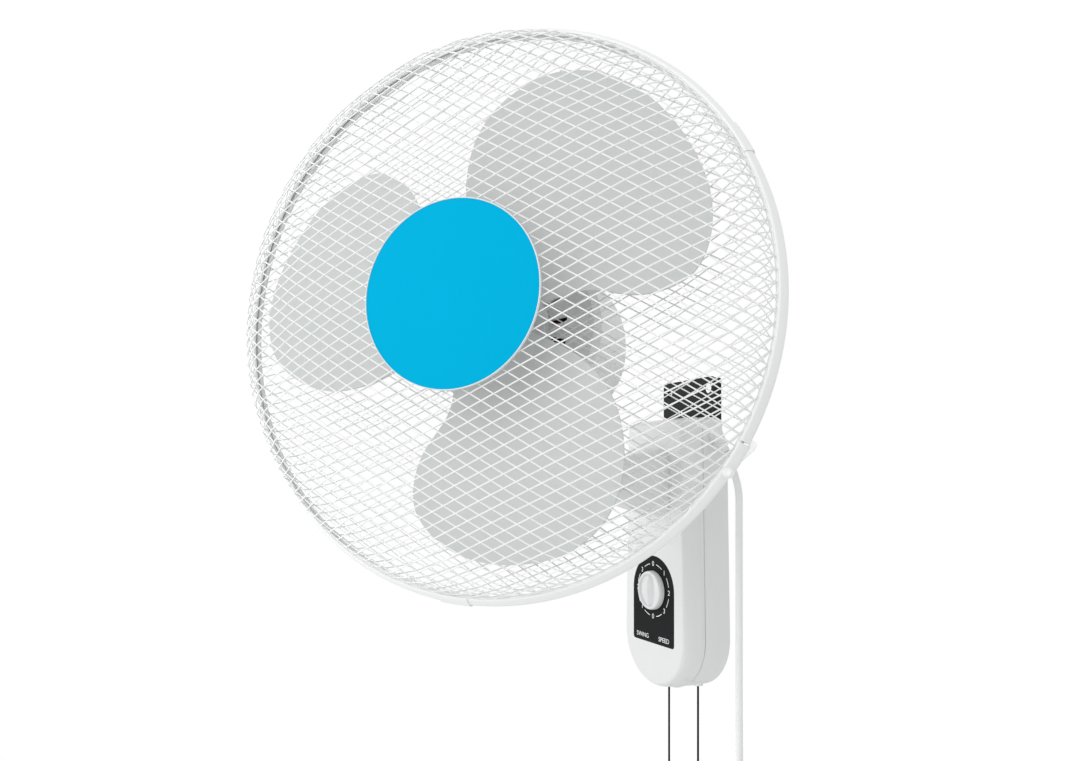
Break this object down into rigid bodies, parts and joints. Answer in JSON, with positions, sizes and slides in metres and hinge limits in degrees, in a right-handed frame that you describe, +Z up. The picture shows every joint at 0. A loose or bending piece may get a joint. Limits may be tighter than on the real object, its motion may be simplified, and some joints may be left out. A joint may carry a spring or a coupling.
{
  "type": "wall mounted fan",
  "caption": "Wall mounted fan: oscillating, tilting caged rotor on an arm, tongue-shaped base with dial, pull cords, supply cord and wall bracket.",
  "frame": {"origin": "on the wall plane, midway between the two screw holes of the bracket", "axes": "+Y into the wall, -Y out towards the room, +X to the right seen from the room, +Z up"},
  "size_m": [0.3338, 0.4199, 0.7553],
  "materials": {
    "white_plastic": "smooth moulded, lightly glossy",
    "inner_plastic": "plain moulded",
    "panel_plastic": "fine satin",
    "bracket_steel": "satin paint on pressed sheet",
    "blade_plastic": "smooth, slightly see-through grey",
    "motor_plastic": "smooth moulded grey",
    "guard_wire": "powder coat on welded wire",
    "badge_plastic": "smooth blue",
    "cord_sheath": "flexible sheath",
    "pull_cord_braid": "fine round braid",
    "plain_steel": "machined",
    "laminations": "stacked punchings",
    "copper_winding": "varnished wire",
    "bronze_bush": "sintered",
    "pin_brass": "plated"
  },
  "bodies": {
    "base": {"wall_bracket": "bracket_steel", "base_rear_cover": "white_plastic", "base_front_cover": "white_plastic", "cover_screws": "plain_steel", "control_panel": "panel_plastic", "speed_switch": "inner_plastic", "switch_nut": "plain_steel", "swing_switch": "inner_plastic", "cord_eyelets": "plain_steel", "terminal_block": "inner_plastic", "cord_grip": "cord_sheath", "power_cord": "cord_sheath", "power_cord_coil": "cord_sheath", "power_cord_tail": "cord_sheath", "coil_tie": "panel_plastic", "plug_body": "white_plastic", "plug_pins": "pin_brass", "support_arm": "white_plastic", "arm_screws": "plain_steel", "tilt_bolt": "plain_steel", "tilt_nut": "plain_steel"},
    "neck": {"tilt_knuckle": "white_plastic", "swing_washer": "inner_plastic", "post_ring": "plain_steel"},
    "head": {"motor_rear_housing": "motor_plastic", "motor_front_housing": "motor_plastic", "housing_screws": "plain_steel", "stator_core": "laminations", "stator_windings": "copper_winding", "stator_screws": "plain_steel", "end_shield": "plain_steel", "front_bearing": "bronze_bush", "rear_bearing": "bronze_bush", "swing_motor": "plain_steel", "rear_grille": "guard_wire", "rear_grille_nut": "white_plastic", "front_grille": "guard_wire", "guard_ring": "white_plastic", "ring_clips": "white_plastic", "ring_clamp": "white_plastic", "ring_screw": "plain_steel", "badge": "badge_plastic", "badge_clip": "white_plastic"},
    "rotor": {"rotor_core": "laminations", "motor_shaft": "plain_steel", "drive_pin": "plain_steel", "fan_blade": "blade_plastic", "blade_nut": "blade_plastic"},
    "crank": {"swing_crank": "plain_steel"},
    "link": {"swing_link": "plain_steel"},
    "knob": {"speed_knob": "white_plastic", "switch_shaft": "plain_steel"},
    "speed_pull": {"speed_pull_plunger": "inner_plastic", "speed_pull_cord": "pull_cord_braid", "speed_pull_bell": "white_plastic"},
    "swing_pull": {"swing_pull_plunger": "inner_plastic", "swing_pull_cord": "pull_cord_braid", "swing_pull_bell": "white_plastic"}
  },
  "joints": [
    {"name": "tilt", "type": "hinge", "parent": "base", "child": "neck", "pos_m": [0, -0.18, -0.085], "axis": [1, 0, 0], "range_deg": [-16, 24]},
    {"name": "swing", "type": "hinge", "parent": "neck", "child": "head", "pos_m": [0, -0.17201, 0.02932], "axis": [0, 0.0698, 0.9976], "range_deg": [-84.4, 0]},
    {"name": "blade_spin", "type": "hinge", "parent": "head", "child": "rotor", "pos_m": [0, -0.17201, 0.02932], "axis": [0.6717, -0.739, 0.0517], "continuous": true},
    {"name": "crank_turn", "type": "hinge", "parent": "head", "child": "crank", "pos_m": [0.02266, -0.19295, -0.02285], "axis": [0, 0.0698, 0.9976], "range_deg": [0, 180.2]},
    {"name": "link_swivel", "type": "hinge", "parent": "crank", "child": "link", "pos_m": [0.02537, -0.19613, -0.02563], "axis": [0, 0.0698, 0.9976], "range_deg": [-180.2, 0]},
    {"name": "knob_turn", "type": "hinge", "parent": "base", "child": "knob", "pos_m": [0, -0.051, -0.197], "axis": [0, -1, 0], "continuous": true},
    {"name": "speed_pull", "type": "slide", "parent": "base", "child": "speed_pull", "axis": [0, 0, -1], "range_m": [0, 0.018], "stiffness_N_per_m": 250},
    {"name": "swing_pull", "type": "slide", "parent": "base", "child": "swing_pull", "axis": [0, 0, -1], "range_m": [0, 0.018], "stiffness_N_per_m": 250}
  ],
  "couplings": [
    {"joint": "crank_turn", "follows": "swing", "ratio": -2.1327},
    {"joint": "link_swivel", "follows": "swing", "ratio": 2.1327}
  ]
}
